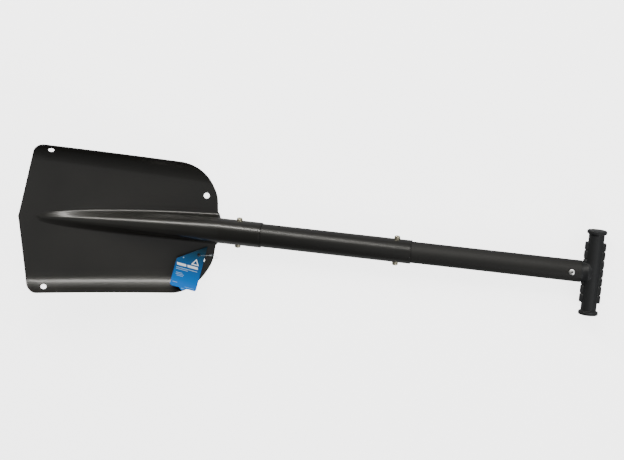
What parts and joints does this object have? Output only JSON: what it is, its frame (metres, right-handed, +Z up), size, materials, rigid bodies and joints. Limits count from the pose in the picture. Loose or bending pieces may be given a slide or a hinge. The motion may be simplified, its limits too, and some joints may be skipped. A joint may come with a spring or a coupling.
{
  "type": "camp shovel",
  "caption": "Take-down scoop shovel: pressed black blade with rolled socket, telescoping shaft on spring buttons, T-handle and a hang tag.",
  "frame": {"origin": "centre of the shovel's box in plan, on the surface that it lies on, scoop up", "axes": "+X along the shaft from the blade to the T-handle, +Y across the blade to its right-hand side, +Z up out of the scoop"},
  "size_m": [0.7896, 0.2048, 0.0906],
  "materials": {
    "blade_coat": "black satin coating, with a soft sheen",
    "tube_coat": "black satin anodised",
    "handle_plastic": "moulded, satin",
    "rivet_metal": "bright, as drawn",
    "mandrel_steel": "dull zinc-plated",
    "spring_steel": "plain spring steel",
    "button_plating": "zinc and yellow passivated",
    "tag_card": "printed card, satin film",
    "nylon": "clear nylon"
  },
  "bodies": {
    "blade": {"blade": "blade_coat"},
    "lower_shaft": {"middle_tube": "tube_coat", "lower_spring": "spring_steel"},
    "upper_shaft": {"upper_tube": "tube_coat", "t_handle": "handle_plastic", "rivet_front": "rivet_metal", "rivet_back": "rivet_metal", "mandrel_front": "mandrel_steel", "mandrel_back": "mandrel_steel", "upper_spring": "spring_steel"},
    "lower_button_right": {"lower_button_right": "button_plating"},
    "lower_button_left": {"lower_button_left": "button_plating"},
    "upper_button_right": {"upper_button_right": "button_plating"},
    "upper_button_left": {"upper_button_left": "button_plating"},
    "tag": {"hang_tag": "tag_card", "tag_loop": "nylon", "tag_lock": "nylon"}
  },
  "joints": [
    {"name": "shaft_pull", "type": "slide", "parent": "blade", "child": "lower_shaft", "axis": [1, 0, 0], "range_m": [0, 0.04], "deforming": ["lower_button_right", "lower_button_left", "lower_spring"]},
    {"name": "handle_slide", "type": "slide", "parent": "lower_shaft", "child": "upper_shaft", "axis": [1, 0, 0], "range_m": [-0.162, 0], "deforming": ["upper_button_right", "upper_button_left", "upper_spring"]},
    {"name": "lower_press_right", "type": "slide", "parent": "lower_shaft", "child": "lower_button_right", "axis": [0, -1, 0], "range_m": [0, 0.0053], "stiffness_N_per_m": 1500, "springref_m": -0.001, "deforming": ["lower_spring"]},
    {"name": "lower_press_left", "type": "slide", "parent": "lower_shaft", "child": "lower_button_left", "axis": [0, 1, 0], "range_m": [0, 0.0053], "stiffness_N_per_m": 1500, "springref_m": -0.001, "deforming": ["lower_spring"]},
    {"name": "upper_press_right", "type": "slide", "parent": "upper_shaft", "child": "upper_button_right", "axis": [0, -1, 0], "range_m": [0, 0.006], "stiffness_N_per_m": 1500, "springref_m": -0.001, "deforming": ["upper_spring"]},
    {"name": "upper_press_left", "type": "slide", "parent": "upper_shaft", "child": "upper_button_left", "axis": [0, 1, 0], "range_m": [0, 0.006], "stiffness_N_per_m": 1500, "springref_m": -0.001, "deforming": ["upper_spring"]},
    {"name": "tag_swing", "type": "hinge", "parent": "blade", "child": "tag", "pos_m": [-0.15139, -0.045, 0.00792], "axis": [-0.2924, 0, -0.9563], "range_deg": [0, 20]}
  ]
}
